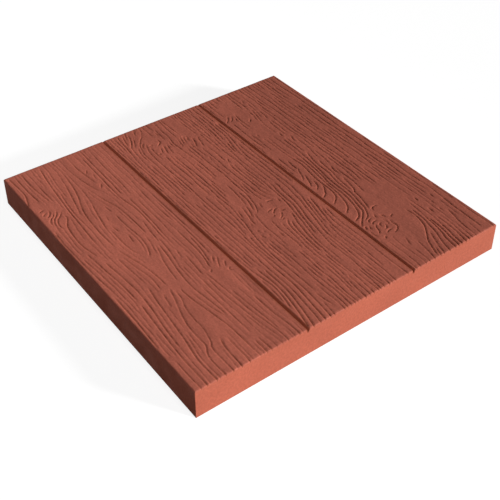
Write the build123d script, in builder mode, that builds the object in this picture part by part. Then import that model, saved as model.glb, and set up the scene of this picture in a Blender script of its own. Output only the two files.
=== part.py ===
"""A square paving slab, cast in one piece of coloured concrete, with a face like three sawn boards.

The boards run along Y. The face is up, and the bed that lies on the ground is at Z = 0.
"""

from build123d import *
import math
import os
import random
from collections import namedtuple

import numpy as np

os.makedirs("parts", exist_ok=True)

# Slab, in millimetres and degrees
slab_width = 450.0
slab_length = 450.0
slab_thickness = 40.0
side_draft = 1.0
arris_bevel = 1.2

# Joints between the boards: distance of each from the slab's centre line, then the section.
# The board on a joint's left slopes down into it, and the board on its right stands steep.
left_joint_place = -76.5
right_joint_place = 82.5
joint_slope = 4.2
joint_wall = 1.2
joint_depth = 5.0

# Grain grooves: those round the knots are cut deeper than the straight grain
groove_width = 2.4
figure_depth = 2.0
straight_depth = 1.5
groove_taper = 14.0
groove_spacing = 3.5
shortest_groove = 22.0
groove_run_out = 20.0
side_margin = 5.0
far_margin = 5.0
sway_length = 450.0

# Breaks in the straight grain: length of a gap, and the least and most unbroken grain between two gaps
break_gap = 12.0
least_unbroken = 110.0
most_unbroken = 340.0

# Unevenness: of the spacing between straight lines, and of where the lines of a sheaf begin and end
uneven_pitch = 0.12
uneven_ends = 0.12

# Step along a line for testing where a groove may run, and how far its outline may leave the line
test_step = 4.0
outline_tolerance = 0.4
drawn_points = 60

# A board's own grain. Places on a board are (across, along) from the middle of that board.
# A sheaf is a bundle of lines that changes evenly from its first guide to its last.
# A ring is an oval line round a knot, from a start angle to an end angle.
# A knot pushes the straight grain aside, with a reach across the board and a reach along it.
# A bare patch is a smooth oval with no straight grain in it.
Sheaf = namedtuple("Sheaf", "first last count")
Ring = namedtuple("Ring", "centre across along start end")
Knot = namedtuple("Knot", "centre push across along")
Bare = namedtuple("Bare", "centre across along")
Board = namedtuple("Board", "pitch sway sheaves rings knots bare_patches")

left_board = Board(
    pitch=8.4,
    sway=2.6,
    sheaves=[
        Sheaf([(-9, -84), (-21, -118), (-29, -160), (-35, -245)], [(-10, -172), (-17, -194), (-20, -245)], 4),
        Sheaf([(-8, -92), (-1, -112), (8, -145), (24, -195)], [(-9, -180), (-4, -196), (1, -245)], 4),
        Sheaf([(50, -76), (51, -55), (53, -20)], [(65, -70), (65, -50), (64, -20)], 4),
        Sheaf([(52, -92), (58, -82), (61, -70)], [(61, -97), (66, -87), (69, -76)], 3),
        Sheaf([(20, 150), (22, 164), (24, 178)], [(25, 156), (27, 168), (28, 180)], 2),
    ],
    rings=[
        Ring((-4, 62), 14, 76, -75, 255),
        Ring((-4, 60), 8.5, 54, -60, 240),
        Ring((-4, 58), 3.5, 30, -70, 70),
        Ring((-72, 116), 22, 25, -75, 75),
        Ring((-72, 116), 16.5, 19, -75, 75),
        Ring((-72, 116), 11, 13, -70, 70),
    ],
    knots=[
        Knot((-4, 62), 19, 24, 74),
        Knot((-72, 116), 22, 26, 28),
        Knot((-9, -190), 30, 34, 74),
        Knot((57, -90), 8, 14, 26),
    ],
    bare_patches=[Bare((-7, -34), 6, 20), Bare((50, -112), 9, 16)],
)

middle_board = Board(
    pitch=5.8,
    sway=1.6,
    sheaves=[
        Sheaf([(-53, 186), (-49, 197), (-45, 212)], [(-43, 176), (-36, 190), (-28, 207)], 4),
        Sheaf([(-27, 110), (-25, 150), (-17, 170)], [(-12, 118), (-9, 152), (-4, 171)], 3),
        Sheaf([(5, 116), (6, 152), (10, 170)], [(18, 112), (19, 146), (24, 168)], 3),
        Sheaf([(-20, -52), (-16, -32), (-8, -14)], [(-1, -26), (5, -8), (12, 4)], 4),
        Sheaf([(14, -80), (19, -69), (26, -59)], [(62, -92), (67, -66), (70, -30)], 7),
    ],
    rings=[
        Ring((9, -38), 8, 9, 20, 200),
        Ring((9, -38), 4, 5, 0, 300),
    ],
    knots=[
        Knot((6, -38), 11, 15, 26),
        Knot((-34, 190), 5, 9, 20),
    ],
    bare_patches=[
        Bare((6, -36), 13, 14),
        Bare((-24, 180), 9, 8),
        Bare((2, 52), 7, 9),
        Bare((-33, 40), 6, 22),
    ],
)

right_board = Board(
    pitch=6.0,
    sway=1.6,
    sheaves=[
        Sheaf([(-65, -20), (-61, -9), (-57, 10)], [(-65, -76), (-53, -62), (-49, -36)], 4),
        Sheaf(
            [(-45, 60), (-49, -20), (-51, -74), (-66, -98)],
            [(-17, 40), (-26, -30), (-31, -96), (-63, -127)],
            7,
        ),
        Sheaf(
            [(-29, -207), (-16, -188), (-3, -171), (4, -138)],
            [(18, -245), (19, -205), (18, -185), (15, -140)],
            6,
        ),
        Sheaf([(-65, 150), (-59, 160), (-55, 174)], [(-60, 142), (-52, 156), (-48, 172)], 3),
        Sheaf([(-24, 136), (-20, 151), (-18, 168)], [(-16, 144), (-13, 156), (-11, 170)], 2),
    ],
    rings=[
        Ring((-42, -140), 19, 20, 10, 130),
        Ring((-42, -140), 19, 20, 190, 330),
        Ring((-42, -140), 12.5, 13.5, 60, 350),
        Ring((-42, -140), 6.5, 7, -60, 230),
    ],
    knots=[Knot((-42, -140), 14, 20, 34)],
    bare_patches=[
        Bare((-2, -102), 25, 32),
        Bare((-20, -165), 16, 24),
        Bare((-42, -140), 24, 24),
        Bare((-42, 188), 12, 13),
        Bare((-38, 114), 12, 22),
    ],
)

# Board spans across the slab, and the grain cast on each
board_edges = [-slab_width / 2, left_joint_place, right_joint_place, slab_width / 2]
boards = [left_board, middle_board, right_board]


def line_length(line):
    return float(np.hypot(*np.diff(line, axis=0).T).sum())


def points_along(line, places):
    """Points of a line at given distances along it."""
    run = np.concatenate([[0], np.cumsum(np.hypot(*np.diff(line, axis=0).T))])
    return np.column_stack([np.interp(places, run, line[:, 0]), np.interp(places, run, line[:, 1])])


def guide_line(points):
    """A smooth line through three or four guide points."""
    degree = len(points) - 1
    factors = np.polyfit(np.linspace(0, 1, len(points)), np.array(points, float), degree)
    steps = np.linspace(0, 1, drawn_points)[:, None]
    return sum(factor * steps ** (degree - order) for order, factor in enumerate(factors))


def sheaf_lines(sheaf, chance):
    """The lines of a sheaf, which begin and end a little unevenly."""
    first = guide_line(sheaf.first)
    last = guide_line(sheaf.last)
    for share in np.linspace(0, 1, sheaf.count):
        line = first * (1 - share) + last * share
        start = chance.uniform(0, uneven_ends)
        end = 1 - chance.uniform(0, uneven_ends)
        yield points_along(line, np.linspace(start, end, drawn_points) * line_length(line))


def ring_line(ring):
    """An oval line round a knot."""
    angles = np.radians(np.linspace(ring.start, ring.end, drawn_points))
    across = ring.centre[0] + ring.across * np.cos(angles)
    along = ring.centre[1] + ring.along * np.sin(angles)
    return np.column_stack([across, along])


def straight_lines(board, board_width, chance):
    """Lines from end to end of a board, swaying a little and parting round its knots."""
    count = int(board_width / board.pitch)
    along = np.arange(-slab_length / 2 - groove_run_out, slab_length / 2 + groove_run_out, test_step)
    for index in range(count):
        start = (index + 0.5 - count / 2 + chance.uniform(-uneven_pitch, uneven_pitch)) * board.pitch
        across = start + board.sway * np.sin(2 * math.pi * (along + start) / sway_length)
        for knot in board.knots:
            offset = start - knot.centre[0]
            push = math.copysign(knot.push, offset) * math.exp(-abs(offset) / knot.across)
            across = across + push * np.exp(-(((along - knot.centre[1]) / knot.along) ** 2))
        yield np.column_stack([across, along])


def unbroken(line, chance):
    """True for the points of a line that are kept, with a gap every so often."""
    kept = np.ones(len(line), bool)
    place = chance.uniform(0, most_unbroken)
    while place < line_length(line):
        kept[int(place / test_step) : int((place + break_gap) / test_step) + 1] = False
        place += chance.uniform(least_unbroken, most_unbroken)
    return kept


def runs(line, kept):
    """The unbroken stretches of a line that are long enough for a groove."""
    changes = np.flatnonzero(np.diff(np.concatenate([[0], kept.astype(int), [0]])))
    for first, end in zip(changes[::2], changes[1::2]):
        if line_length(line[first:end]) > shortest_groove:
            yield line[first:end]


def clear_of(line, others):
    """True for the points of a line that stand clear of the grooves already placed."""
    if not others:
        return np.ones(len(line), bool)
    gaps = line[:, None, :] - np.concatenate(others)[None, :, :]
    return np.hypot(gaps[..., 0], gaps[..., 1]).min(axis=1) > groove_spacing


def board_grain(board, left, right, chance):
    """A board's grooves: first the figure round its knots, then straight grain in the space left."""
    centre_line = np.array([(left + right) / 2, 0])
    figure = [line for sheaf in board.sheaves for line in sheaf_lines(sheaf, chance)]
    figure += [ring_line(ring) for ring in board.rings]
    straight = straight_lines(board, right - left, chance)
    placed = []
    grooves = {figure_depth: [], straight_depth: []}
    for depth, lines in ((figure_depth, figure), (straight_depth, straight)):
        for line in lines:
            line = points_along(line, np.arange(0, line_length(line), test_step))
            kept = np.abs(line[:, 0]) < (right - left) / 2 - side_margin
            kept &= line[:, 1] < slab_length / 2 - far_margin
            kept &= clear_of(line, placed)
            if depth == straight_depth:
                kept &= unbroken(line, chance)
                for patch in board.bare_patches:
                    kept &= np.hypot(*((line - patch.centre) / (patch.across, patch.along)).T) > 1
            for run in runs(line, kept):
                placed.append(points_along(run, np.arange(0, line_length(run), groove_spacing / 2)))
                grooves[depth].append(run + centre_line)
    return grooves


def needed_points(line):
    """The few points of a line that keep its shape."""
    chord = line[-1] - line[0]
    from_start = line - line[0]
    offsets = np.abs(chord[0] * from_start[:, 1] - chord[1] * from_start[:, 0]) / np.hypot(*chord)
    farthest = int(offsets.argmax())
    if offsets[farthest] < outline_tolerance:
        return [line[0], line[-1]]
    return needed_points(line[: farthest + 1])[:-1] + needed_points(line[farthest:])


def groove_outline(line):
    """A long leaf round a line, pointed at both ends, on the slab's face."""
    length = line_length(line)
    taper = min(groove_taper, length / 3)
    middle = np.array(needed_points(points_along(line, np.linspace(taper, length - taper, drawn_points))))
    heading = np.gradient(np.vstack([line[0], middle, line[-1]]), axis=0)[1:-1]
    heading /= np.hypot(*heading.T)[:, None]
    half_width = np.column_stack([-heading[:, 1], heading[:, 0]]) * groove_width / 2
    corners = [line[0], *(middle + half_width), line[-1], *(middle - half_width)[::-1]]
    with BuildSketch(Plane.XY.offset(slab_thickness)) as outline:
        Polygon(*[tuple(corner) for corner in corners], align=None)
    return outline.sketch.face()


grain = {figure_depth: [], straight_depth: []}
for number, board in enumerate(boards):
    lines_by_depth = board_grain(board, board_edges[number], board_edges[number + 1], random.Random(number))
    for depth, lines in lines_by_depth.items():
        grain[depth] += [groove_outline(line) for line in lines]

with BuildPart() as slab:
    # Body, narrowing a little towards the face so that it leaves its mould
    with BuildSketch():
        Rectangle(slab_width, slab_length)
    extrude(amount=slab_thickness, taper=side_draft)
    chamfer(slab.faces().sort_by(Axis.Z)[-1].edges(), length=arris_bevel)
    # Joints between the boards
    with BuildSketch(Plane.XZ):
        for place in (left_joint_place, right_joint_place):
            with Locations((place, slab_thickness)):
                Polygon((-joint_slope, 0), (0, -joint_depth), (joint_wall, 0), align=None)
    extrude(amount=slab_length, both=True, mode=Mode.SUBTRACT)
    # Grain
    for depth, outlines in grain.items():
        extrude(Sketch(outlines), amount=-depth, mode=Mode.SUBTRACT)

slab.part.label = "paving_slab"
export_step(slab.part, "parts/paving_slab.step")
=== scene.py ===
"""Dresses the cast paving slab: a grained face on three boards, a fine cast finish and a plain studio."""

import math
import random
from collections import namedtuple

import bmesh
import bpy
import numpy as np
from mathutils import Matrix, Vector, noise
from mathutils.geometry import interpolate_bezier


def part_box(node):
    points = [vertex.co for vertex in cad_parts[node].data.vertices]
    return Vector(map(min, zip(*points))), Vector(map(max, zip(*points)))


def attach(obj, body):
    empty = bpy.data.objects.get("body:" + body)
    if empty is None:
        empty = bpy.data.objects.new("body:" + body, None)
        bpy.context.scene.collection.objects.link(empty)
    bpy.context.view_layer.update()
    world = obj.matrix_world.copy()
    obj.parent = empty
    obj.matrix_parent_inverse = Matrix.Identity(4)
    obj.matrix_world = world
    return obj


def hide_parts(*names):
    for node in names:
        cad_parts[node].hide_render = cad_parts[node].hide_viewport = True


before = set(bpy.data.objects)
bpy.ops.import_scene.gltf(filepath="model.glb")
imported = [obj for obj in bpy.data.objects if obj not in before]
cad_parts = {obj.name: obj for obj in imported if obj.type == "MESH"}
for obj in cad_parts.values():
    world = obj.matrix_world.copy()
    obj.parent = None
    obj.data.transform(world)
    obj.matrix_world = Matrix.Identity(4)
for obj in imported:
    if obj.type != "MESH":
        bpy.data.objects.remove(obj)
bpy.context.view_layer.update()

bl_info = {
    "name": "Timber-effect paving slab",
    "version": (1, 0, 0),
    "blender": (4, 5, 0),
    "location": "View3D > Sidebar > Paving",
    "description": "Casts a paving slab with a face like three boards, and sets a plain studio round it",
    "category": "Add Mesh",
}

MM = 0.001

# The slab's own box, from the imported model
slab_low, slab_high = (Vector(corner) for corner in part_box("paving_slab"))
slab_size = slab_high - slab_low

# A board's own grain, in millimetres. Places on a board are (across, along) from the middle of that board.
# Its pitch is the gap between lines of straight grain. Its strength and its carving are factors for the depth
# of that grain and of its strokes.
# A stroke is one carved line, drawn smoothly through its guide points.
# A bare patch is an oval with no straight grain in it: its centre, its reach across and its reach along.
# A quiet patch is given in the same way, with the share of its depth that the straight grain loses there.
Board = namedtuple("Board", "pitch strength carving strokes bare_patches quiet_patches")

LEFT_BOARD = Board(
    pitch=5.2,
    strength=0.7,
    carving=0.82,
    strokes=[
        # Lines that bow out round the left of the eye
        [(-25, 216), (-30, 180), (-33, 148), (-36, 115), (-38, 80), (-40, 38)],
        [(-28, 152), (-31, 130), (-33, 105), (-33, 78)],
        [(-14, 167), (-18, 145), (-22, 125), (-28, 98)],
        [(-6, 179), (-8, 158), (-13, 132), (-20, 110), (-24, 88), (-26, 55), (-25, 20)],
        [(-25, 12), (-20, -8), (-15, -30), (-12, -52), (-11, -74)],
        # The eye and what it holds
        [(-6, 108), (-9, 95), (-12, 78), (-16, 56)],
        [(-13, 50), (-13, 20), (-11, 0), (-7, -9)],
        [(7, 72), (7, 45), (9, 22), (8, 4), (4, -12), (0, -20)],
        [(-8, 56), (-6, 40)],
        [(0, 31), (-2, 13)],
        [(-4, 78), (-6, 64)],
        [(8, 122), (12, 104), (17, 84), (19, 50), (19, 20)],
        [(4, 96), (6, 80)],
        [(5, 178), (8, 158), (13, 134), (17, 126)],
        [(15, 200), (16, 178), (20, 146)],
        # Short marks right of the eye
        [(24, 179), (20, 170)],
        [(27, 166), (24, 152)],
        [(25, 141), (20, 131)],
        # Long lines down the right of the board
        [(38, 240), (37, 190), (36, 145), (35, 104)],
        [(32, 205), (31, 165), (30, 130), (30, 100), (34, 66), (33, 30), (31, 4)],
        [(48, 208), (46, 165), (46, 125), (44, 98)],
        [(38, 92), (38, 60), (37, 30), (35, 6)],
        [(45, 82), (45, 50), (45, 26)],
        [(28, 42), (25, 20), (23, -4)],
        [(58, 100), (57, 60), (58, 20)],
        [(66, 84), (66, 40), (66, 2)],
        # Lines that sweep in below the eye
        [(16, -9), (13, -22), (9, -35), (6, -52), (3, -76)],
        [(20, -8), (18, -30), (15, -48), (12, -72), (11, -95), (14, -122), (17, -152)],
        [(26, 2), (24, -25), (20, -48)],
        [(32, -28), (29, -44)],
        [(35, -42), (34, -62), (32, -84)],
        [(52, 2), (52, -40), (50, -62), (46, -78)],
        [(58, -18), (56, -46), (51, -72)],
        [(62, -2), (61, -40), (60, -58)],
        # A small knot by the joint
        [(60, -63), (55, -74)],
        [(64, -67), (55, -86)],
        [(68, -77), (62, -88)],
        [(46, -82), (42, -86)],
        [(66, -90), (63, -95), (67, -98)],
        # A knot on the left edge
        [(-56, 131), (-57, 125), (-60, 120), (-65, 117)],
        [(-68, 131), (-64, 134), (-61, 133)],
        [(-61, 127), (-65, 125), (-67, 121)],
        [(-54, 122), (-57, 116), (-62, 112), (-65, 106), (-66, 98)],
        [(-49, 125), (-50, 120), (-54, 114), (-58, 110), (-61, 104), (-63, 96)],
        [(-45, 118), (-50, 111), (-55, 107), (-58, 101), (-59, 94), (-58, 88)],
        [(-45, 110), (-44, 104), (-47, 97), (-51, 90), (-53, 82), (-55, 64), (-55, 44), (-50, 17)],
        [(-69, 88), (-70, 80), (-71, 62)],
        [(-68, 222), (-66, 180), (-69, 164), (-74, 149)],
        [(-60, 214), (-60, 182), (-58, 152)],
        [(-51, 222), (-51, 186), (-47, 146)],
        [(-44, 182), (-43, 142)],
        # Lines down the left edge
        [(-72, 84), (-71, 40), (-69, -10), (-66, -46)],
        [(-66, 22), (-63, -12), (-61, -44)],
        [(-58, 28), (-55, -8), (-52, -42), (-51, -76)],
        [(-48, 2), (-45, -30), (-43, -64), (-45, -96), (-49, -128), (-52, -164)],
        [(-33, 0), (-31, -30), (-29, -58)],
        [(-27, -2), (-23, -28), (-19, -52), (-20, -76)],
        # The nested peak towards the near end
        [(-69, -56), (-69, -100), (-71, -152)],
        [(-51, -84), (-54, -118), (-57, -160), (-58, -192), (-57, -245)],
        [(-30, -64), (-34, -92), (-37, -118), (-41, -155), (-46, -188), (-46, -212), (-44, -245)],
        [(-22, -84), (-26, -107)],
        [(-11, -80), (-16, -100), (-22, -120), (-27, -142),
         (-28, -164), (-28, -178), (-35, -197), (-33, -245)],
        [(-8, -87), (-9, -102), (-14, -118), (-16, -138),
         (-16, -155), (-20, -175), (-25, -190), (-24, -245)],
        [(-9, -177), (-13, -196), (-14, -245)],
        [(-3, -183), (-3, -215), (-4, -245)],
        [(-2, -88), (0, -112), (4, -136), (9, -172), (10, -215)],
        [(5, -100), (9, -130), (14, -152)],
        [(33, -92), (33, -122), (36, -155), (39, -186), (44, -216)],
        [(36, -82), (39, -115), (42, -165), (47, -200), (49, -245)],
        [(44, -123), (46, -150), (49, -185), (50, -204)],
        [(27, -90), (27, -136)],
        [(20, -100), (21, -140), (22, -192)],
        [(33, -164), (36, -194)],
        [(59, -146), (60, -180), (63, -206), (64, -245)],
        [(19, -202), (20, -245)],
        [(24, -200), (27, -245)],
        [(-66, -177), (-66, -205), (-64, -245)],
    ],
    bare_patches=[
        ((-3, -36), 8, 19),
        ((-5, -62), 5, 18),
        ((52, -110), 9, 14),
        ((-48, 134), 6, 7),
        ((-4, -150), 9, 24),
    ],
    quiet_patches=[
        ((58, 190), 22, 60, 0.2),
        ((-55, 200), 20, 50, 0.3),
        ((-5, -150), 30, 60, 0.2),
        ((55, -130), 20, 60, 0.2),
    ],
)

MIDDLE_BOARD = Board(
    pitch=4.6,
    strength=1.2,
    carving=1.0,
    strokes=[
        # A swirl near the far end
        [(-30, 201), (-37, 193), (-43, 184), (-46, 174)],
        [(-36, 187), (-41, 180), (-43, 173)],
        [(-42, 204), (-46, 193), (-51, 183)],
        [(-43, 217), (-46, 204), (-51, 193), (-55, 187)],
        [(-51, 219), (-55, 202), (-57, 191)],
        [(-58, 220), (-60, 203), (-61, 188), (-63, 173)],
        [(-17, 183), (-16, 175), (-24, 168)],
        [(-32, 177), (-28, 173)],
        [(-10, 199), (-9, 188)],
        # Short strokes across the middle of the far half
        [(-32, 153), (-30, 149)],
        [(-22, 164), (-25, 156), (-28, 149)],
        [(-16, 167), (-19, 156), (-22, 144)],
        [(-11, 165), (-14, 154), (-16, 142)],
        [(-6, 169), (-7, 161), (-6, 152)],
        [(-6, 206), (-7, 190), (-8, 177)],
        [(1, 204), (0, 193), (0, 179), (-3, 162), (-2, 148), (0, 118)],
        [(8, 168), (5, 155), (4, 147)],
        [(13, 170), (8, 151)],
        [(17, 169), (12, 151)],
        [(22, 167), (17, 153)],
        [(26, 158), (23, 146), (19, 136)],
        [(33, 156), (30, 143), (27, 130)],
        [(19, 106), (17, 97)],
        [(36, 88), (33, 78)],
        [(56, 166), (55, 146), (53, 130)],
        [(64, 128), (60, 112), (57, 96)],
        [(57, 119), (55, 104), (54, 92)],
        # The knot
        [(4, 19), (4, 8), (3, -4), (0, -15), (-3, -24)],
        [(9, 2), (7, -6), (5, -16), (2, -24), (-2, -31)],
        [(-6, -11), (-7, -19), (-10, -28), (-12, -35)],
        [(-11, -8), (-13, -20), (-15, -30), (-17, -38), (-18, -49)],
        [(-20, -12), (-21, -20), (-23, -29)],
        [(-26, -32), (-27, -40), (-29, -48), (-32, -65)],
        [(-22, -42), (-22, -48)],
        [(12, -16), (9, -24)],
        [(23, 22), (23, 10), (24, 0), (26, -10), (29, -16)],
        [(30, 19), (29, 5), (31, -4), (36, -14)],
        [(20, -19), (26, -19), (30, -21)],
        [(36, -22), (36, -29)],
        [(9, -37), (14, -35), (18, -35)],
        [(24, -36), (19, -38), (13, -44)],
        [(25, -39), (27, -44), (31, -45)],
        [(10, -49), (13, -46)],
        [(23, -46), (21, -51), (17, -55), (13, -57)],
        [(20, -57), (15, -60)],
        [(-22, -58), (-23, -62)],
        [(-17, -62), (-17, -66)],
        [(-16, -70), (-15, -75)],
        [(-25, -66), (-23, -75)],
        [(-4, -75), (-3, -81), (-3, -88)],
        # Strokes that sweep away from the knot
        [(21, -62), (17, -69), (15, -77), (13, -96)],
        [(23, -68), (20, -77), (18, -88), (16, -108), (15, -134)],
        [(42, -5), (42, -15), (41, -27), (40, -38), (37, -53)],
        [(33, -54), (30, -65), (27, -74), (24, -90), (21, -108), (20, -132)],
        [(47, 11), (48, 2), (46, -9), (45, -30), (44, -46), (40, -62), (36, -81), (31, -104)],
        [(53, 9), (54, -1), (52, -12), (51, -32), (49, -48), (46, -61), (42, -76), (38, -100)],
        [(61, 0), (61, -12), (59, -24), (57, -43), (54, -55), (50, -76), (45, -98)],
        [(65, -26), (64, -36), (61, -48), (57, -66), (52, -88)],
        [(71, -44), (67, -64), (62, -84)],
        # Lines that lean out to the left joint at the near end
        [(-66, -112), (-64, -140), (-65, -165), (-69, -190), (-76, -222)],
        [(-72, -116), (-68, -146), (-70, -170), (-74, -188)],
        [(-59, -120), (-59, -160), (-63, -188), (-71, -228)],
        [(-54, -128), (-54, -165), (-57, -195), (-63, -245)],
        [(-48, -120), (-47, -160), (-50, -190), (-56, -245)],
        [(-42, -150), (-42, -180), (-48, -245)],
        [(-36, -185), (-34, -200), (-32, -212)],
        [(8, -190), (6, -215), (6, -245)],
    ],
    bare_patches=[
        ((4, -38), 11, 12),
        ((-24, 182), 9, 9),
        ((24, 200), 8, 10),
        ((2, 52), 7, 9),
        ((-35, 50), 6, 14),
        ((-51, 44), 5, 14),
        ((-10, 16), 5, 9),
        ((-6, -106), 5, 9),
        ((-27, -162), 5, 9),
        ((28, -170), 5, 12),
        ((62, -206), 8, 9),
    ],
    quiet_patches=[
        ((10, 170), 60, 60, 0.15),
        ((-45, -50), 35, 50, 0.25),
        ((40, -150), 45, 50, 0.35),
    ],
)

RIGHT_BOARD = Board(
    pitch=5.3,
    strength=1.15,
    carving=1.0,
    strokes=[
        # Hooks that run into the joint
        [(-53, 35), (-54, 22), (-54, 12)],
        [(-52, 15), (-57, 3), (-60, -6), (-64, -12)],
        [(-54, -3), (-57, -12), (-60, -21), (-64, -29)],
        [(-53, -19), (-54, -25), (-56, -32), (-63, -39)],
        [(-49, -31), (-51, -38), (-55, -45), (-60, -52), (-67, -56)],
        [(-45, 37), (-43, 22), (-44, 8), (-46, -4), (-48, -24),
         (-48, -46), (-50, -59), (-54, -66), (-65, -75)],
        [(-40, 35), (-38, 20), (-39, 4), (-43, -29), (-45, -58),
         (-48, -72), (-50, -81), (-55, -90), (-64, -98)],
        # Long lines that bend round the knot into the joint
        [(-33, 30), (-34, 10), (-37, -20), (-40, -34), (-41, -66),
         (-43, -80), (-47, -96), (-54, -110), (-66, -116)],
        [(-28, 24), (-31, -4), (-35, -33), (-36, -64), (-38, -80),
         (-42, -96), (-45, -107), (-58, -120), (-66, -129)],
        [(-19, 36), (-25, 10), (-26, -18), (-30, -38), (-31, -67),
         (-36, -93), (-38, -103), (-46, -117), (-55, -122)],
        [(-18, 12), (-20, -4), (-21, -18), (-24, -34), (-26, -52), (-27, -64)],
        [(-22, -64), (-26, -71), (-27, -80), (-30, -92), (-34, -106)],
        [(-13, -7), (-16, -17), (-16, -29)],
        [(1, 9), (0, -15), (1, -30), (0, -42), (-2, -55)],
        # The rough knot, with broken rings
        [(-21, -108), (-27, -107), (-31, -109), (-33, -114)],
        [(-37, -119), (-40, -127)],
        [(-18, -132), (-24, -135)],
        [(-62, -130), (-65, -137)],
        [(-64, -140), (-64, -149), (-62, -157)],
        [(-54, -128), (-50, -124), (-45, -123)],
        [(-33, -123), (-30, -127), (-29, -132)],
        [(-28, -138), (-30, -145), (-29, -152), (-34, -158), (-42, -161)],
        [(-58, -133), (-60, -141)],
        [(-53, -134), (-48, -130), (-42, -130)],
        [(-36, -133), (-34, -140), (-36, -147)],
        [(-49, -135), (-52, -140), (-54, -147), (-58, -152)],
        [(-46, -143), (-45, -138), (-41, -136)],
        [(-39, -141), (-41, -147), (-46, -149)],
        [(-49, -156), (-43, -153), (-37, -153)],
        [(-54, -158), (-57, -163)],
        # Strokes that fan out to the near end
        [(1, -135), (3, -147), (2, -159), (-2, -172), (-10, -184), (-19, -196), (-24, -208), (-29, -221)],
        [(8, -140), (7, -152), (6, -164), (3, -176), (0, -190), (-5, -203), (-9, -216), (-13, -245)],
        [(11, -160), (10, -171), (8, -184), (5, -196), (1, -209), (-2, -245)],
        [(13, -166), (12, -180), (10, -196), (7, -210), (3, -245)],
        [(17, -181), (15, -196), (12, -210), (9, -245)],
        [(21, -204), (19, -214), (15, -245)],
        [(25, -206), (24, -219), (22, -245)],
        [(-37, -175), (-39, -181), (-41, -189)],
        [(44, -167), (42, -179), (39, -189), (37, -202), (36, -212)],
        [(55, -174), (54, -195), (53, -215)],
        [(57, -144), (56, -157), (54, -179)],
        [(38, -157), (38, -165)],
        [(27, -150), (26, -161)],
        [(28, -125), (26, -132)],
        [(49, -130), (48, -139)],
        # Slanting strokes in the far half
        [(-54, 173), (-59, 164), (-66, 157)],
        [(-49, 170), (-54, 161), (-60, 157)],
        [(-48, 162), (-50, 154)],
        [(-43, 170), (-45, 152), (-45, 128)],
        [(-50, 148), (-50, 129)],
        [(-22, 164), (-23, 152), (-26, 140)],
        [(-16, 167), (-18, 154), (-22, 137)],
        [(-9, 158), (-9, 146), (-11, 134)],
        [(-12, 196), (-15, 186)],
        [(-48, 110), (-49, 104)],
        [(-20, 96), (-22, 84)],
        [(-11, 82), (-16, 66)],
        [(-31, 148), (-37, 141)],
    ],
    bare_patches=[
        ((-2, -102), 24, 30),
        ((-20, -165), 14, 26),
        ((-42, -140), 24, 24),
        ((-42, 192), 13, 14),
        ((-36, 112), 10, 16),
        ((-33, 153), 5, 8),
        ((50, 148), 8, 9),
        ((-56, 54), 5, 8),
        ((38, 74), 5, 8),
        ((-15, 62), 5, 14),
    ],
    quiet_patches=[
        ((45, -170), 50, 80, 0.4),
        ((-48, -205), 24, 40, 0.3),
        ((20, 190), 60, 50, 0.1),
    ],
)

BOARDS = [LEFT_BOARD, MIDDLE_BOARD, RIGHT_BOARD]

# A line carved in the slab, in metres
Groove = namedtuple("Groove", "is_stroke line width depth phase")

# How the grain is drawn, with lengths in millimetres
STEP = 4.0
SHORTEST_LINE = 34.0
RUN_OUT = 20.0
JOINT_MARGIN = 4.5
BREAK_GAP = (3.0, 9.0)
UNBROKEN = (140.0, 520.0)
SEED_ROWS = (-60, 120, -200, 200)
MAP_CELL = 0.5

# Shares of a board's pitch: the least gap between its lines, and how unevenly they start
LINE_SPACING = 0.72
UNEVEN_PITCH = 0.22

# The waves in which a line strays, as (how far, over what length), and how much that length varies
WANDER = ((0.6, 80.0), (0.12, 24.0))
WAVE_SPREAD = (0.6, 1.4)

# How many points of a stroke begin the line that carries it on
OVERLAP = 4

# Points drawn between two guide points, and what divides the gap of their neighbours for the curve's handles
ARC_POINTS = 12
HANDLE_PARTS = 6

# How far a stroke bends the straight grain beside it, and how firmly that grain keeps straight
BEND_REACH = (5.0, 12.0)
STRAIGHTNESS = 2.5
STEEPEST_LEAN = 0.9
BENDING_STROKE = 30.0

# How many steps of a line are cut at a time
STRETCH = 6

# A groove's reach to each side, in widths, and how much wider it is on its gentle side
CUT_REACH = 2.2
SKEW = 0.35

# The fall of a groove that is half as deep at half its width from its line
ROUND_FALL = 4 * math.log(2)

# What divides a short groove's length for its run-out
RUN_OUT_PARTS = 2.2

# How the depth varies from line to line, and how much it swells along a line, over what length in millimetres
STROKE_SPREAD = (0.8, 1.1)
GRAIN_SPREAD = (0.75, 1.1)
SWELLING = 0.1
SWELL_WAVE = 7.0

# Strokes shorter than this, in millimetres, are gouged wider and deeper by a factor
SHORT_STROKE = 14.0
SHORT_STROKE_GAIN = 1.1

# How narrow a cell of the mesh may get, as a share of its first size, and how often that is looked at
NARROWEST_CELL = 0.15
UNFOLD_ROUNDS = 4

# A stroke that leans more than this crosses many columns of the mesh, so the cells beside it get more rows
STEEP_STROKE = 0.4
COLUMNS_BESIDE = 2
ROWS_BESIDE = 1
ROW_CUTS = 2

# A joint's section: the run of its wall in millimetres, and the rounded share and the bends of its slope
WALL_RUN = 0.3
ROUNDED_SHARE = 0.8
SLOPE_BENDS = (0.2, 0.4, 0.6, 0.8, 1)

# Space beside a joint, in millimetres, without other columns and without moved mesh points
COLUMN_GAP = 0.4
JOINT_CLEARANCE = 0.5

# How much painted shade a joint gets, and the share of that where its slope ends, before it is eased
MOST_JOINT_SHADE = 0.85
SLOPE_END_SHADE = 0.6

# What is left of a joint's depth and of its painted shade at the far rim
JOINT_AT_RIM = 0.1
SHADE_AT_RIM = 0.4

# The soft hollows, as (share, reach across and along in millimetres, layer of the noise)
MEAN_HOLLOW = 0.5
HOLLOWS = ((0.35, 36, 90, 0), (0.15, 9, 26, 5))

# Mesh cells round the arris
ARRIS_STEPS = 3

# Gaps that count as none
SAME_PLACE = 1e-6
TINY = 1e-9

# The usual range of a noise texture
NOISE_LOW, NOISE_HIGH = 0.3, 0.7

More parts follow.
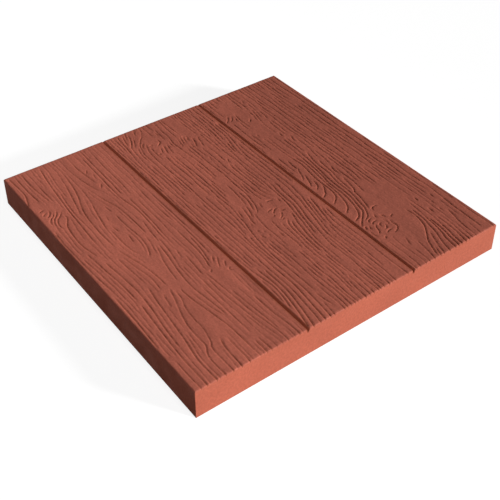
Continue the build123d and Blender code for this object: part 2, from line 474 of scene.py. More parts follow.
# How much the concrete's clouds, grit and streaks lighten and darken it
CLOUD_SHADE = 0.06
GRIT_SHADE = 0.1
STREAK_SHADE = 0.09

# The strength of the concrete's faint sheen, and the range of its roughness
SHEEN = 0.25
ROUGHNESS = (0.74, 0.9)

# How far a place faces up where the sides' colour goes over to the face's, and the share of painted shade
# from which it shows
FACE_TURN = (0.15, 0.35)
SHADE_FROM = 0.25

# The concrete's fine relief, with distances in millimetres
Bump = namedtuple("Bump", "name scale detail stretch strength distance face_only")
BUMPS = (
    Bump("sand", 420, 3, (1, 1, 1), 0.6, 0.3, False),
    Bump("mottle", 190, 2, (1, 0.5, 1), 0.7, 0.7, True),
    Bump("fibre", 420, 3, (1, 0.06, 1), 0.5, 0.25, True),
)

# The floor's greys, to light that bounces and to the eye, and its own glow
FLOOR_BOUNCE = 0.3
FLOOR_SEEN = 0.35
FLOOR_GLOW = 0.85

# The strip lamp's size, and its place as a share of the slab's width
STRIP_SIZE = (0.1, 1.6)
STRIP_PLACE = 0.06

KEY_DISTANCE = 2
SENSOR_WIDTH = 36


class SlabRelief(bpy.types.PropertyGroup):
    """Sizes of the slab's face and edges"""

    left_joint: bpy.props.FloatProperty(
        name="Left joint",
        description="Place of the left joint across the slab",
        default=-76.5 * MM,
        unit="LENGTH",
    )
    right_joint: bpy.props.FloatProperty(
        name="Right joint",
        description="Place of the right joint across the slab",
        default=82.5 * MM,
        unit="LENGTH",
    )
    joint_wall: bpy.props.FloatProperty(
        name="Joint wall",
        description="Reach of a joint's steep wall left of its place",
        default=0.8 * MM,
        unit="LENGTH",
    )
    joint_slope: bpy.props.FloatProperty(
        name="Joint slope",
        description="Reach of a joint's rounded side right of its place",
        default=3.5 * MM,
        unit="LENGTH",
    )
    joint_depth: bpy.props.FloatProperty(
        name="Joint depth", description="Depth of a joint", default=4.2 * MM, unit="LENGTH"
    )
    # Painted shade: the width of the darkened strip beside a joint
    joint_shade_reach: bpy.props.FloatProperty(
        name="Joint shade",
        description="Width of the soiled strip beside a joint",
        default=3.6 * MM,
        unit="LENGTH",
    )
    far_rim: bpy.props.FloatProperty(
        name="Far rim",
        description="Strip along the far end over which joints and grain run out",
        default=5.0 * MM,
        unit="LENGTH",
    )
    near_notch: bpy.props.FloatProperty(
        name="Near notch",
        description="How much deeper the grain is where it leaves the near end",
        default=0.55,
    )
    near_reach: bpy.props.FloatProperty(
        name="Near reach", description="Length over which it deepens", default=9.0 * MM, unit="LENGTH"
    )
    stroke_width: bpy.props.FloatProperty(
        name="Stroke width",
        description="Width of a drawn stroke at half its depth",
        default=1.25 * MM,
        unit="LENGTH",
    )
    stroke_depth: bpy.props.FloatProperty(
        name="Stroke depth", description="Depth of the drawn strokes", default=1.12 * MM, unit="LENGTH"
    )
    grain_width: bpy.props.FloatProperty(
        name="Grain width",
        description="Width of a line of straight grain at half its depth",
        default=1.15 * MM,
        unit="LENGTH",
    )
    grain_depth: bpy.props.FloatProperty(
        name="Grain depth", description="Depth of the straight grain", default=0.79 * MM, unit="LENGTH"
    )
    unevenness: bpy.props.FloatProperty(
        name="Unevenness",
        description="Depth of the soft hollows of the boards",
        default=0.45 * MM,
        unit="LENGTH",
    )
    taper: bpy.props.FloatProperty(
        name="Taper", description="Length over which a groove runs out", default=6.0 * MM, unit="LENGTH"
    )
    arris_radius: bpy.props.FloatProperty(
        name="Arris radius", description="Rounding of the face's edges", default=1.4 * MM, unit="LENGTH"
    )
    side_draft: bpy.props.FloatProperty(
        name="Side draft",
        description="Lean of the sides, which lets the slab leave its mould",
        default=math.radians(1),
        subtype="ANGLE",
    )
    columns: bpy.props.IntProperty(name="Columns", description="Mesh cells across the boards", default=520)
    rows: bpy.props.IntProperty(name="Rows", description="Mesh cells along the boards", default=158)


class SlabFinish(bpy.types.PropertyGroup):
    """Colours of the concrete"""

    face: bpy.props.FloatVectorProperty(
        name="Face", description="Colour of the boards' faces", default=(0.47, 0.127, 0.081), subtype="COLOR"
    )
    side: bpy.props.FloatVectorProperty(
        name="Side", description="Colour of the sides", default=(0.48, 0.121, 0.07), subtype="COLOR"
    )
    # Painted shade: a darker colour laid deep in the joints and the grain
    recess_shade: bpy.props.FloatVectorProperty(
        name="Recess",
        description="Colour deep in joints and grain",
        default=(0.33, 0.084, 0.038),
        subtype="COLOR",
    )


class StudioStage(bpy.types.PropertyGroup):
    """The floor, the lamps and the camera"""

    floor_side: bpy.props.FloatProperty(
        name="Floor side", description="Length of the floor's sides", default=8.0, unit="LENGTH"
    )
    key_strength: bpy.props.FloatProperty(
        name="Key strength", description="Strength of the sun lamp", default=4.0
    )
    key_elevation: bpy.props.FloatProperty(
        name="Key elevation",
        description="Height of the sun lamp over the floor",
        default=math.radians(16),
        subtype="ANGLE",
    )
    key_heading: bpy.props.FloatProperty(
        name="Key heading",
        description="Turn of the sun lamp from the boards' near ends towards the right",
        default=math.radians(35),
        subtype="ANGLE",
    )
    key_softness: bpy.props.FloatProperty(
        name="Key softness",
        description="Angle that the sun lamp fills, seen from the slab",
        default=math.radians(9),
        subtype="ANGLE",
    )
    top_power: bpy.props.FloatProperty(
        name="Top lamp power", description="Power of the strip lamp over the left board", default=1.05
    )
    top_height: bpy.props.FloatProperty(
        name="Top lamp height", description="Height of the strip lamp", default=0.44, unit="LENGTH"
    )
    fill_strength: bpy.props.FloatProperty(
        name="Fill strength", description="Light from all round", default=0.05
    )
    eye: bpy.props.FloatVectorProperty(
        name="Eye", description="Place of the camera", default=(-0.5339, -0.7349, 0.7491), subtype="XYZ"
    )
    aim: bpy.props.FloatVectorProperty(
        name="Aim",
        description="Point in the middle of the picture",
        default=(-0.0488, -0.0818, 0.04),
        subtype="XYZ",
    )
    lens: bpy.props.FloatProperty(name="Lens", description="Focal length in millimetres", default=65.1)


# Drawing the grain, in millimetres


def line_length(line):
    return float(np.hypot(*np.diff(line, axis=0).T).sum())


def even_points(line, step):
    """Points at even steps along a line, with both its ends."""
    run = np.concatenate([[0], np.cumsum(np.hypot(*np.diff(line, axis=0).T))])
    places = np.linspace(0, run[-1], max(2, round(run[-1] / step) + 1))
    return np.column_stack([np.interp(places, run, line[:, 0]), np.interp(places, run, line[:, 1])])


def drawn_stroke(guide):
    """A smooth line through a stroke's guide points."""
    points = [Vector((*point, 0)) for point in guide]
    ends = [points[0] * 2 - points[1], *points, points[-1] * 2 - points[-2]]
    line = []
    for before, start, end, after in zip(ends, ends[1:], ends[2:], ends[3:]):
        leaving = start + (end - before) / HANDLE_PARTS
        arriving = end - (after - start) / HANDLE_PARTS
        line += [point.xy for point in interpolate_bezier(start, leaving, arriving, end, ARC_POINTS)]
    moves = [spot for last, spot in zip(line, line[1:]) if (spot - last).length > SAME_PLACE]
    return even_points(np.array([line[0], *moves]), STEP / 2)


class GrainField:
    """The way a board's straight grain runs: as the strokes beside it do, and straight away from them."""

    def __init__(self, strokes):
        steps = np.concatenate([np.diff(stroke, axis=0) for stroke in strokes])
        steps = steps * np.where(steps[:, 1:] < 0, -1, 1)
        self.marks = np.concatenate([(stroke[1:] + stroke[:-1]) / 2 for stroke in strokes])
        self.leans = steps[:, 0] / np.maximum(steps[:, 1], np.abs(steps[:, 0]) / STEEPEST_LEAN)

    def lean(self, places):
        gaps = (places[:, None, :] - self.marks) / BEND_REACH
        nearness = np.exp(-(gaps**2).sum(axis=2) / 2)
        return nearness @ self.leans / (nearness.sum(axis=1) + STRAIGHTNESS)

    def traced(self, starts, way, end):
        """Lines that follow the grain one way from their starts until they are all past an end."""
        track = [starts]
        while (track[-1][:, 1] * way).min() < end:
            lean = self.lean(track[-1])
            track.append(track[-1] + np.column_stack([lean * STEP * way, np.full(len(lean), STEP * way)]))
        return np.array(track).transpose(1, 0, 2)


def wandered(line, chance):
    """A line that strays a little to both sides as it runs."""
    for most, wave in WANDER:
        phase = chance.uniform(0, 2 * math.pi)
        turn = 2 * math.pi / (wave * chance.uniform(*WAVE_SPREAD))
        line[:, 0] += most * (np.sin(turn * line[:, 1] + phase) - np.sin(turn * line[0, 1] + phase))
    return line


def run_on_lines(strokes, field, end, chance):
    """Lines that carry the long strokes on from both their ends, each beginning inside its stroke."""
    for way in (-1, 1):
        tails = [stroke if (stroke[-1, 1] - stroke[0, 1]) * way > 0 else stroke[::-1] for stroke in strokes]
        starts = np.array([tail[-1] for tail in tails])
        for tail, line in zip(tails, field.traced(starts, way, end)):
            yield np.concatenate([tail[-OVERLAP:-1], wandered(line, chance)])


def straight_lines(board, half_width, field, end, chance):
    """Lines from end to end of a board."""
    count = int(2 * half_width / board.pitch)
    for row in SEED_ROWS:
        across = [
            (index + 0.5 - count / 2 + chance.uniform(-UNEVEN_PITCH, UNEVEN_PITCH)) * board.pitch
            for index in range(count)
        ]
        starts = np.column_stack([across, np.full(count, float(row))])
        before, after = field.traced(starts, -1, end), field.traced(starts, 1, end)
        for line in np.concatenate([before[:, ::-1], after[:, 1:]], axis=1):
            yield wandered(line, chance)


def unbroken(line, chance):
    """True for the points of a line that are kept, with a gap every so often."""
    kept = np.ones(len(line), bool)
    place = chance.uniform(0, UNBROKEN[1])
    while place < line_length(line):
        gap = chance.uniform(*BREAK_GAP)
        kept[int(place / STEP) : int((place + gap) / STEP) + 1] = False
        place += gap + chance.uniform(*UNBROKEN)
    return kept


def runs(line, kept):
    """The unbroken stretches of a line that are long enough for a groove."""
    changes = np.flatnonzero(np.diff(np.concatenate([[0], kept.astype(int), [0]])))
    for first, end in zip(changes[::2], changes[1::2]):
        if line_length(line[first:end]) > SHORTEST_LINE:
            yield line[first:end]


class TakenMap:
    """A map of a board that tells where a line would crowd those already placed."""

    def __init__(self, width, length, spacing):
        self.spacing = spacing
        self.corner = np.array([width, length]) / -2 - RUN_OUT - spacing
        self.cells = np.zeros((-2 * self.corner / MAP_CELL).astype(int), bool)
        reach = np.arange(-spacing, spacing + MAP_CELL, MAP_CELL)
        disc = np.stack(np.meshgrid(reach, reach), axis=2).reshape(-1, 2)
        self.disc = disc[np.hypot(*disc.T) < spacing]

    def index(self, points):
        cells = ((points - self.corner) / MAP_CELL).astype(int)
        return tuple(np.clip(cells, 0, np.array(self.cells.shape) - 1).T)

    def place(self, line):
        points = even_points(line, self.spacing / 2)
        self.cells[self.index((points[:, None, :] + self.disc).reshape(-1, 2))] = True

    def clear(self, line):
        return ~self.cells[self.index(line)]


def board_grain(board, width, length, chance):
    """A board's lines, as (is a stroke, line): its drawn strokes, then straight grain in the space left."""
    strokes = [drawn_stroke(guide) for guide in board.strokes]
    taken = TakenMap(width, length, LINE_SPACING * board.pitch)
    for stroke in strokes:
        taken.place(stroke)
        yield True, stroke
    end = length / 2 + RUN_OUT

    def on_board(line):
        kept = (np.abs(line[:, 0]) < width / 2 - JOINT_MARGIN) & (np.abs(line[:, 1]) < end)
        for centre, across, along in board.bare_patches:
            kept &= np.hypot(*((line - centre) / (across, along)).T) > 1
        return kept

    long_strokes = [stroke for stroke in strokes if line_length(stroke) > BENDING_STROKE]
    field = GrainField(long_strokes)
    for line in run_on_lines(long_strokes, field, end, chance):
        clear = taken.clear(line)
        clear[: OVERLAP + round(taken.spacing / STEP)] = True
        kept = np.logical_and.accumulate(on_board(line) & clear)
        for run in runs(line, kept):
            taken.place(run)
            yield False, run
    for line in straight_lines(board, width / 2, field, end, chance):
        for run in runs(line, on_board(line) & taken.clear(line) & unbroken(line, chance)):
            taken.place(run)
            yield False, run


# Carving the face, in metres


def slab_grooves(relief, edges):
    """The grain of all the boards, placed between the edges of each."""
    grooves = []
    for number, board in enumerate(BOARDS):
        chance = random.Random(number)
        left, right = edges[number : number + 2]
        middle = np.array([(left + right) / 2, 0])
        for is_stroke, line in board_grain(board, (right - left) / MM, slab_size.y / MM, chance):
            if is_stroke:
                width = relief.stroke_width
                depth = relief.stroke_depth * board.carving * chance.uniform(*STROKE_SPREAD)
            else:
                width = relief.grain_width
                depth = relief.grain_depth * board.strength * chance.uniform(*GRAIN_SPREAD)
            gain = SHORT_STROKE_GAIN if line_length(line) < SHORT_STROKE else 1
            phase = chance.uniform(0, 2 * math.pi)
            grooves.append(Groove(is_stroke, line * MM + middle, width * gain, depth * gain, phase))
    return grooves


def stations(half, radius, cells):
    """Places of the mesh's lines across the face, closer together where the edge is rounded."""
    flat = np.linspace(-half + radius, half - radius, cells + 1)
    turn = radius * np.sin(np.linspace(0, math.pi / 2, ARRIS_STEPS + 1))[1:]
    return np.concatenate([flat[0] - turn[::-1], flat, flat[-1] + turn])


def eased(share):
    """A share from 0 to 1 with a soft start and end."""
    share = np.clip(share, 0, 1)
    return share * share * (3 - 2 * share)


def joint_section(across, relief):
    """Depth of a joint at places across it: a steep wall on the left, a flat bottom and a rounded side."""
    wall = 1 + (across + relief.joint_wall) / (WALL_RUN * MM)
    side = (relief.joint_slope - across) / (ROUNDED_SHARE * relief.joint_slope)
    return relief.joint_depth * np.clip(wall, 0, 1) * eased(side)


def joint_shade(across, relief):
    """How much painted shade lies on the face at places across a joint, from 0 to 1."""
    left = (across + relief.joint_wall) / relief.joint_shade_reach + 1
    right = (relief.joint_slope - across) / relief.joint_shade_reach + SLOPE_END_SHADE
    return MOST_JOINT_SHADE * np.minimum(eased(left), eased(right))


def joint_columns(columns, joint, relief):
    """The mesh's columns, with some more where a joint's section bends."""
    slope = relief.joint_slope * np.array(SLOPE_BENDS)
    bends = np.array([-relief.joint_wall - WALL_RUN * MM, -relief.joint_wall, 0, *slope]) + joint
    inside = (columns > bends[0] - COLUMN_GAP * MM) & (columns < bends[-1] + COLUMN_GAP * MM)
    return np.sort(np.concatenate([columns[~inside], bends]))


def face_grid(columns, rows):
    """A flat mesh with lines at the columns and the rows."""
    bm = bmesh.new()
    bmesh.ops.create_grid(bm, x_segments=len(columns) - 1, y_segments=len(rows) - 1, size=1)
    for vert in bm.verts:
        column = round((vert.co.x + 1) / 2 * (len(columns) - 1))
        row = round((vert.co.y + 1) / 2 * (len(rows) - 1))
        vert.co = (columns[column], rows[row], 0)
    return bm


def add_rows(bm, columns, rows, strokes):
    """Splits the mesh's cells where strokes cross many of its columns."""
    steep = []
    for stroke in strokes:
        steps = np.diff(stroke, axis=0)
        steep.append(stroke[1:][np.abs(steps[:, 0]) > STEEP_STROKE * np.abs(steps[:, 1])])
    steep = np.concatenate(steep)
    cells = np.zeros((len(columns) + 1, len(rows) + 1), bool)
    across, along = np.searchsorted(columns, steep[:, 0]), np.searchsorted(rows, steep[:, 1])
    for right in range(-COLUMNS_BESIDE, COLUMNS_BESIDE + 1):
        for up in range(-ROWS_BESIDE, ROWS_BESIDE + 1):
            cells[np.clip(across + right, 0, len(columns)), np.clip(along + up, 0, len(rows))] = True
    split = []
    for edge in bm.edges:
        middle = (edge.verts[0].co + edge.verts[1].co) / 2
        if abs(edge.verts[0].co.y - middle.y) < SAME_PLACE:
            continue
        right, up = np.searchsorted(columns, middle.x - SAME_PLACE), np.searchsorted(rows, middle.y)
        if cells[right, up] or cells[right + 1, up]:
            split.append(edge)
    bmesh.ops.subdivide_edges(bm, edges=split, cuts=ROW_CUTS)


class Carver:
    """Cuts grooves into the face at its mesh points."""

    def __init__(self, places):
        self.places = places
        self.depth = np.zeros(len(places))
        self.order = np.argsort(places[:, 1])
        self.rows = places[self.order, 1]

    def beside(self, line, reach):
        """The mesh points beside each stretch of a line, with their places along it, gaps and steps."""
        steps = np.diff(line, axis=0)
        lengths = np.hypot(*steps.T)
        begins = np.concatenate([[0], np.cumsum(lengths)])
        for first in range(0, len(steps), STRETCH):
            part = slice(first, first + STRETCH)
            points = line[first : first + STRETCH + 1]
            low, high = points.min(axis=0) - reach, points.max(axis=0) + reach
            near = self.order[slice(*np.searchsorted(self.rows, (low[1], high[1])))]
            near = near[(self.places[near, 0] > low[0]) & (self.places[near, 0] < high[0])]
            if not len(near):
                continue
            gaps = self.places[near, None, :] - line[:-1][part]
            share = np.clip((gaps * steps[part]).sum(axis=2) / lengths[part] ** 2, 0, 1)
            gaps = gaps - share[..., None] * steps[part]
            nearest = np.linalg.norm(gaps, axis=2).argmin(axis=1)
            each = np.arange(len(near))
            place = (share * lengths[part] + begins[:-1][part])[each, nearest]
            yield near, place, gaps[each, nearest], steps[part][nearest]

    def gather(self, line, cell, free):
        """Moves the mesh points that a line passes closest to onto the line, where they are free to move."""
        for near, _, gaps, steps in self.beside(line, cell):
            gap = np.linalg.norm(gaps, axis=1)
            lean = np.abs(steps).max(axis=1) / np.hypot(*steps.T)
            onto = gap < cell / 2 * lean
            self.places[near[onto]] -= gaps[onto] * free[near[onto]]

    def cut(self, groove, taper):
        """Cuts a groove with a round section, gentler to the left and far side, that runs out at its ends."""
        total = line_length(groove.line)
        run_out = min(taper, total / RUN_OUT_PARTS)
        for near, place, gaps, _ in self.beside(groove.line, CUT_REACH * groove.width):
            gap = np.linalg.norm(gaps, axis=1)
            side = (gaps[:, 1] - gaps[:, 0]) / np.maximum(gap, TINY) / math.sqrt(2)
            spread = (gap / (groove.width * (1 + SKEW * side))) ** 2
            fade = np.sin(np.clip(np.minimum(place, total - place) / run_out, 0, 1) * math.pi / 2)
            swell = 1 - SWELLING + SWELLING * np.sin(place / (SWELL_WAVE * MM) + groove.phase)
            cut = groove.depth * fade * swell * np.exp(-ROUND_FALL * spread)
            self.depth[near] = np.maximum(self.depth[near], cut)


def corner_turns(corners):
    """The area that the sides at each corner of each cell span, less than 0 where the cell is folded."""
    after, before = np.roll(corners, -1, axis=1) - corners, np.roll(corners, 1, axis=1) - corners
    return after[..., 0] * before[..., 1] - after[..., 1] * before[..., 0]


def unfolded(places, kept, cells):
    """The places of mesh points, put back to those kept where a cell has become folded or very narrow."""
    narrow = NARROWEST_CELL * corner_turns(kept[cells])
    for _ in range(UNFOLD_ROUNDS):
        folded = (corner_turns(places[cells]) < narrow).any(axis=1)
        places[cells[folded]] = kept[cells[folded]]
    return places


def gathered_places(bm, grooves, halves, joints, relief):
    """Places of the face's mesh points, with those nearest to a groove moved onto it."""
    bm.verts.index_update()
    places = np.array([vert.co.xy for vert in bm.verts])
    free = np.abs(places) < halves - relief.arris_radius
    free[:, 0] &= np.abs(places[:, :1] - joints).min(axis=1) > relief.joint_slope + JOINT_CLEARANCE * MM
    gatherer = Carver(places.copy())
    for groove in grooves:
        gatherer.gather(groove.line, slab_size.x / relief.columns, free)
    cells = np.array([[vert.index for vert in cell.verts] for cell in bm.faces if len(cell.verts) == 4])
    return unfolded(gatherer.places, places, cells)


def grain_relief(places, grooves, edges, relief):
    """Depth of the boards' grain at places on the face."""
    strokes, grain = Carver(places), Carver(places)
    for groove in grooves:
        (strokes if groove.is_stroke else grain).cut(groove, relief.taper)
    for left, right, board in zip(edges, edges[1:], BOARDS):
        for (across, along), reach_across, reach_along, quietness in board.quiet_patches:
            centre = np.array([(left + right) / 2 / MM + across, along]) * MM
            gaps = (places - centre) / (reach_across * MM, reach_along * MM)
            grain.depth *= 1 - quietness * np.exp(-(gaps**2).sum(axis=1))
    return np.maximum(strokes.depth, grain.depth)


def face_relief(places, grooves, edges, halves, relief):
    """Depth of grain and joints at places on the face, and how much painted shade lies there."""
    near = np.clip(1 - (places[:, 1] + halves[1]) / relief.near_reach, 0, 1)
    far = np.clip((halves[1] - places[:, 1]) / relief.far_rim, 0, 1)
    depth = grain_relief(places, grooves, edges, relief) * (1 + relief.near_notch * near) * far
    # Painted shade: the deeper the grain, the darker its colour
    shaded = np.clip(depth / relief.stroke_depth, 0, 1)
    for joint in edges[1:-1]:
        section = joint_section(places[:, 0] - joint, relief)
        depth = np.maximum(depth, section * (JOINT_AT_RIM + (1 - JOINT_AT_RIM) * far))
        # Painted shade beside each joint
        shade = joint_shade(places[:, 0] - joint, relief)
        shaded = np.maximum(shaded, shade * (SHADE_AT_RIM + (1 - SHADE_AT_RIM) * far))
    return depth, shaded


def soft_hollow(x, y):
    """How hollow a board's face is at a place, from 0 to 1, with hollows longer along the grain."""
    hollow = MEAN_HOLLOW
    for share, across, along, layer in HOLLOWS:
        hollow += share * noise.noise((x / (across * MM), y / (along * MM), layer))
    return hollow


def rounded(places, halves, radius):
    """Where places on the face come to lie, and how far they drop, once its edges are rounded."""
    turn = np.clip((np.abs(places) - halves) / radius + 1, 0, 1)
    out = turn * np.sqrt(1 - turn[:, ::-1] ** 2 / 2)
    drop = radius * (1 - np.sqrt(np.clip(1 - (out**2).sum(axis=1), 0, 1)))
    return places + np.sign(places) * radius * (out - turn), drop


def shaped_face(places, depth, halves, relief):
    """The face's mesh points in space: carved, hollowed, and rounded down to the leaning sides."""
    spots, drop = rounded(places, halves, relief.arris_radius)
    hollow = relief.unevenness * np.array([soft_hollow(x, y) for x, y in places])
    height = slab_size.z - drop - depth - hollow
    height += slab_size.z - height.max()
    on_rim = np.abs(places) > halves - SAME_PLACE
    leaned = halves + ((slab_size.z - height) * math.tan(relief.side_draft))[:, None]
    return np.column_stack([np.where(on_rim, np.sign(places) * leaned, spots), height])


def split_along_grain(bm, depth):
    """Splits the face's cells between their deeper corners, so that a groove's bottom runs on."""
    for cell in list(bm.faces):
        if len(cell.verts) == 4:
            first, second, third, fourth = cell.verts
            if depth[first.index] + depth[third.index] > depth[second.index] + depth[fourth.index]:
                bmesh.utils.face_split(cell, first, third)
            else:
                bmesh.utils.face_split(cell, second, fourth)
    uneven = [cell for cell in bm.faces if len(cell.verts) > 4]
    bmesh.ops.triangulate(bm, faces=uneven, ngon_method="BEAUTY")


def close_slab(bm, painted_shade, relief):
    """Adds the sides and the underside to the face, with no painted shade on them, and sharp edges round
    both.
    """
    rim = [edge for edge in bm.edges if edge.is_boundary]
    walls = bmesh.ops.extrude_edge_only(bm, edges=rim)["geom"]
    for vert in walls:
        if isinstance(vert, bmesh.types.BMVert):
            lean = 1 + vert.co.z * math.tan(relief.side_draft) / max(abs(vert.co.x), abs(vert.co.y))
            vert.co = (vert.co.x * lean, vert.co.y * lean, 0)
            # No painted shade on the sides
            vert[painted_shade] = 0
    foot = [edge for edge in walls if isinstance(edge, bmesh.types.BMEdge) and edge.is_boundary]
    bmesh.ops.contextual_create(bm, geom=foot)
    bmesh.ops.recalc_face_normals(bm, faces=bm.faces)
    for flat in bm.faces:
        flat.smooth = True
    for edge in foot + rim:
        edge.smooth = False


def finished_mesh(bm, name, material):
    """A mesh with a material, made from one that was being worked on."""
    mesh = bpy.data.meshes.new(name)
    bm.to_mesh(mesh)
    bm.free()
    mesh.materials.append(material)
    return mesh


def placed(scene, name, data):
    """A new object in the scene."""
    item = bpy.data.objects.new(name, data)
    scene.collection.objects.link(item)
    return item


class PAVING_OT_cast_slab(bpy.types.Operator):
    """Casts the slab, with its three boards, joints and grain"""

    bl_idname = "paving.cast_slab"
    bl_label = "Cast slab"

    def execute(self, context):
        relief = context.scene.slab_relief
        joints = [relief.left_joint, relief.right_joint]
        edges = [-slab_size.x / 2, *joints, slab_size.x / 2]
        grooves = slab_grooves(relief, edges)

        halves = np.array([slab_size.x, slab_size.y]) / 2 - slab_size.z * math.tan(relief.side_draft)
        columns = stations(halves[0], relief.arris_radius, relief.columns)
        for joint in joints:
            columns = joint_columns(columns, joint, relief)
        rows = stations(halves[1], relief.arris_radius, relief.rows)
        bm = face_grid(columns, rows)
        add_rows(bm, columns, rows, [groove.line for groove in grooves if groove.is_stroke])

        places = gathered_places(bm, grooves, halves, joints, relief)
        depth, shaded = face_relief(places, grooves, edges, halves, relief)
        # The painted shade of the grain and the joints, kept on the mesh points in the layer "groove"
        painted_shade = bm.verts.layers.float.new("groove")
        for vert, spot, share in zip(bm.verts, shaped_face(places, depth, halves, relief), shaded):
            vert.co = spot
            vert[painted_shade] = share
        split_along_grain(bm, depth)
        close_slab(bm, painted_shade, relief)

        mesh = finished_mesh(bm, "paving_slab_cast", concrete_material(context.scene.slab_finish))
        slab = placed(context.scene, "paving_slab_cast", mesh)
        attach(slab, "root")
        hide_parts("paving_slab")
        return {"FINISHED"}


class ConcreteNodes:
    """A material's nodes, and the ways in which the concrete joins them."""

    def __init__(self, material):
        material.use_nodes = True
        self.nodes, self.links = material.node_tree.nodes, material.node_tree.links
        self.place = self.nodes.new("ShaderNodeTexCoord").outputs["Object"]

    def cloud(self, name, scale, detail, stretch=(1, 1, 1)):
        """Noise through the slab's own space."""
        mapping = self.nodes.new("ShaderNodeMapping")
        mapping.inputs["Scale"].default_value = stretch
        self.links.new(self.place, mapping.inputs["Vector"])
        texture = self.nodes.new("ShaderNodeTexNoise")
        texture.label = name
        texture.inputs["Scale"].default_value = scale
        texture.inputs["Detail"].default_value = detail
        self.links.new(mapping.outputs["Vector"], texture.inputs["Vector"])
        return texture.outputs["Fac"]

    def blend(self, value, low, high, dark, light):
        """A value's range from low to high, turned into one from dark to light."""
        ramp = self.nodes.new("ShaderNodeMapRange")
        ramp.inputs["From Min"].default_value = low
        ramp.inputs["From Max"].default_value = high
        ramp.inputs["To Min"].default_value = dark
        ramp.inputs["To Max"].default_value = light
        self.links.new(value, ramp.inputs["Value"])
        return ramp.outputs["Result"]

    def spread(self, noise_value, dark, light):
        return self.blend(noise_value, NOISE_LOW, NOISE_HIGH, dark, light)

    def times(self, first, second):
        product = self.nodes.new("ShaderNodeMath")
        product.operation = "MULTIPLY"
        self.links.new(first, product.inputs[0])
        self.links.new(second, product.inputs[1])
        return product.outputs[0]

    def mixed(self, share, first, second):
        """Two colours, each given by itself or as another node's socket, mixed by a share."""
        mix = self.nodes.new("ShaderNodeMix")
        mix.data_type = "RGBA"
        self.links.new(share, mix.inputs["Factor"])
        for name, colour in (("A_Color", first), ("B_Color", second)):
            socket = next(item for item in mix.inputs if item.identifier == name)
            if isinstance(colour, bpy.types.NodeSocket):
                self.links.new(colour, socket)
            else:
                socket.default_value = (*colour, 1)
        return next(item for item in mix.outputs if item.identifier == "Result_Color")

    def facing_up(self):
        """A value of 1 on the face and 0 on the sides."""
        upright = self.nodes.new("ShaderNodeSeparateXYZ")
        self.links.new(self.nodes.new("ShaderNodeNewGeometry").outputs["Normal"], upright.inputs[0])
        return self.blend(upright.outputs["Z"], *FACE_TURN, 0, 1)

    def painted_shade(self):
        """How much painted shade lies in the joints and the grain."""
        groove = self.nodes.new("ShaderNodeAttribute")
        groove.attribute_name = "groove"
        return self.blend(groove.outputs["Fac"], SHADE_FROM, 1, 0, 1)

    def bumped(self, bump, on_face, under):
        """The normal of a fine relief, which lies on another where there is one under it."""
        height = self.cloud(bump.name, bump.scale, bump.detail, bump.stretch)
        node = self.nodes.new("ShaderNodeBump")
        node.inputs["Strength"].default_value = bump.strength
        node.inputs["Distance"].default_value = bump.distance * MM
        self.links.new(self.times(height, on_face) if bump.face_only else height, node.inputs["Height"])
        if under is not None:
            self.links.new(under, node.inputs["Normal"])
        return node.outputs["Normal"]


def concrete_material(finish):
    """Through-coloured concrete with a fine cast skin, faint clouds and streaks, and painted shade in the
    grain and the joints.
    """
    material = bpy.data.materials.new("terracotta_concrete")
    make = ConcreteNodes(material)
    on_face = make.facing_up()
    body = make.mixed(on_face, finish.side, finish.face)
    # Painted shade: the darker recess colour laid into the grain and the joints on the face
    colour = make.mixed(make.times(make.painted_shade(), on_face), body, finish.recess_shade)

    clouds = make.spread(make.cloud("clouds", scale=14, detail=3), 1 - CLOUD_SHADE, 1 + CLOUD_SHADE)
    grit = make.spread(make.cloud("grit", scale=330, detail=3), 1 - GRIT_SHADE, 1 + GRIT_SHADE)
    long_cloud = make.cloud("streaks", scale=110, detail=3, stretch=(1, 0.12, 1))
    streaks = make.times(make.spread(long_cloud, -STREAK_SHADE, STREAK_SHADE), on_face)
    shade = make.times(make.times(clouds, grit), make.blend(streaks, -1, 1, 0, 2))
    tint = make.nodes.new("ShaderNodeVectorMath")
    tint.operation = "SCALE"
    make.links.new(colour, tint.inputs[0])
    make.links.new(shade, tint.inputs["Scale"])

    normal = None
    for bump in BUMPS:
        normal = make.bumped(bump, on_face, normal)
    polish = make.spread(make.cloud("polish", scale=60, detail=2), *ROUGHNESS)
    shader = make.nodes["Principled BSDF"]
    shader.inputs["Specular IOR Level"].default_value = SHEEN
    make.links.new(tint.outputs["Vector"], shader.inputs["Base Color"])
    make.links.new(polish, shader.inputs["Roughness"])
    make.links.new(normal, shader.inputs["Normal"])
    return material


def seen_directly(nodes, links):
    """A value of 1 for what the camera, a reflection or a clear body sees, and 0 for light that bounces."""
    path = nodes.new("ShaderNodeLightPath")
    most = path.outputs["Is Camera Ray"]
    for name in ("Is Glossy Ray", "Is Transmission Ray"):
        larger = nodes.new("ShaderNodeMath")
        larger.operation = "MAXIMUM"
        links.new(most, larger.inputs[0])
        links.new(path.outputs[name], larger.inputs[1])
        most = larger.outputs[0]
    return most


def floor_material():
    """Pale floor: white where it is seen, with the slab's shadow, and a quiet grey to light that bounces."""
    material = bpy.data.materials.new("pale_floor")
    material.use_nodes = True
    nodes, links = material.node_tree.nodes, material.node_tree.links
    nodes.remove(nodes["Principled BSDF"])

    def matt(grey):
        node = nodes.new("ShaderNodeBsdfDiffuse")
        node.inputs["Color"].default_value = (grey, grey, grey, 1)
        return node.outputs[0]

    glow = nodes.new("ShaderNodeEmission")
    glow.inputs["Color"].default_value = (1, 1, 1, 1)
    glow.inputs["Strength"].default_value = FLOOR_GLOW
    both = nodes.new("ShaderNodeAddShader")
    links.new(glow.outputs[0], both.inputs[0])
    links.new(matt(FLOOR_SEEN), both.inputs[1])
    mix = nodes.new("ShaderNodeMixShader")
    links.new(seen_directly(nodes, links), mix.inputs["Fac"])
    links.new(matt(FLOOR_BOUNCE), mix.inputs[1])
    links.new(both.outputs[0], mix.inputs[2])
    links.new(mix.outputs[0], nodes["Material Output"].inputs["Surface"])
    return material


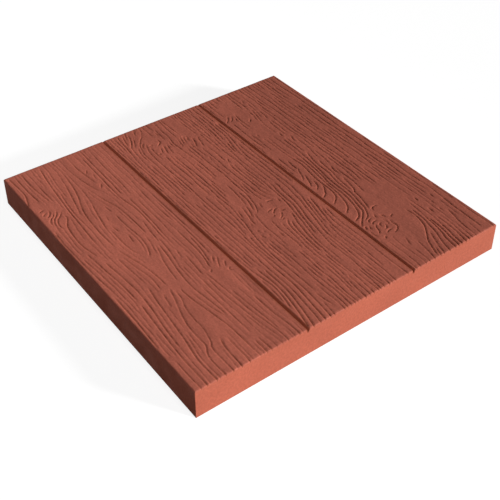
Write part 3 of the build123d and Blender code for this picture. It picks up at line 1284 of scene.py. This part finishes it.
def set_lamps(scene, stage):
    """The low sun that rakes the grain, and the strip over the left board."""
    sun = bpy.data.lights.new("key_light", "SUN")
    sun.energy = stage.key_strength
    sun.angle = stage.key_softness
    flat = math.cos(stage.key_elevation)
    right, near = math.sin(stage.key_heading) * flat, math.cos(stage.key_heading) * flat
    towards = Vector((right, -near, math.sin(stage.key_elevation)))
    lamp = placed(scene, "key_light", sun)
    lamp.rotation_euler = towards.to_track_quat("Z", "Y").to_euler()
    lamp.location = towards * KEY_DISTANCE

    strip = bpy.data.lights.new("top_light", "AREA")
    strip.shape = "RECTANGLE"
    strip.size, strip.size_y = STRIP_SIZE
    strip.energy = stage.top_power
    top_lamp = placed(scene, "top_light", strip)
    top_lamp.location = (slab_low.x + slab_size.x * STRIP_PLACE, 0, stage.top_height)
    top_lamp.visible_camera = False


def set_world(scene, stage):
    """A white surround that gives only a little light."""
    world = bpy.data.worlds.new("studio")
    scene.world = world
    world.use_nodes = True
    nodes, links = world.node_tree.nodes, world.node_tree.links
    background = nodes["Background"]
    background.inputs["Color"].default_value = (1, 1, 1, 1)
    strength = nodes.new("ShaderNodeMix")
    strength.inputs["A"].default_value = stage.fill_strength
    strength.inputs["B"].default_value = 1
    links.new(seen_directly(nodes, links), strength.inputs["Factor"])
    links.new(strength.outputs["Result"], background.inputs["Strength"])


def set_camera(scene, stage):
    """The camera, which looks down on the slab from beyond its near left corner."""
    camera_data = bpy.data.cameras.new("photo_camera")
    camera_data.lens = stage.lens
    camera_data.sensor_width = SENSOR_WIDTH
    camera = placed(scene, "photo_camera", camera_data)
    camera.location = stage.eye
    camera.rotation_euler = (Vector(stage.aim) - Vector(stage.eye)).to_track_quat("-Z", "Y").to_euler()
    scene.camera = camera


class PAVING_OT_set_stage(bpy.types.Operator):
    """Sets the floor, the lamps, the world and the camera"""

    bl_idname = "paving.set_stage"
    bl_label = "Set stage"

    def execute(self, context):
        scene = context.scene
        stage = scene.studio_stage
        scene.view_settings.view_transform = "Standard"
        bm = bmesh.new()
        bmesh.ops.create_grid(bm, x_segments=1, y_segments=1, size=stage.floor_side / 2)
        floor = placed(scene, "studio_floor", finished_mesh(bm, "studio_floor", floor_material()))
        set_lamps(scene, stage)
        set_world(scene, stage)
        set_camera(scene, stage)
        return {"FINISHED"}


class PAVING_PT_sidebar(bpy.types.Panel):
    """Lists the slab's and the studio's steps and settings"""

    bl_label = "Paving slab"
    bl_idname = "PAVING_PT_sidebar"
    bl_space_type = "VIEW_3D"
    bl_region_type = "UI"
    bl_category = "Paving"

    def draw(self, context):
        for operator, groups in STEPS.items():
            self.layout.operator(operator)
            for group in groups:
                settings = getattr(context.scene, group)
                for name in settings.__annotations__:
                    self.layout.prop(settings, name)


STEPS = {"paving.cast_slab": ("slab_relief", "slab_finish"), "paving.set_stage": ("studio_stage",)}
GROUPS = {"slab_relief": SlabRelief, "slab_finish": SlabFinish, "studio_stage": StudioStage}
CLASSES = (*GROUPS.values(), PAVING_OT_cast_slab, PAVING_OT_set_stage, PAVING_PT_sidebar)


def register():
    for cls in CLASSES:
        bpy.utils.register_class(cls)
    for name, group in GROUPS.items():
        setattr(bpy.types.Scene, name, bpy.props.PointerProperty(type=group))


def unregister():
    for name in GROUPS:
        delattr(bpy.types.Scene, name)
    for cls in reversed(CLASSES):
        bpy.utils.unregister_class(cls)


def main():
    register()
    bpy.ops.paving.cast_slab()
    bpy.ops.paving.set_stage()


if __name__ == "__main__":
    main()
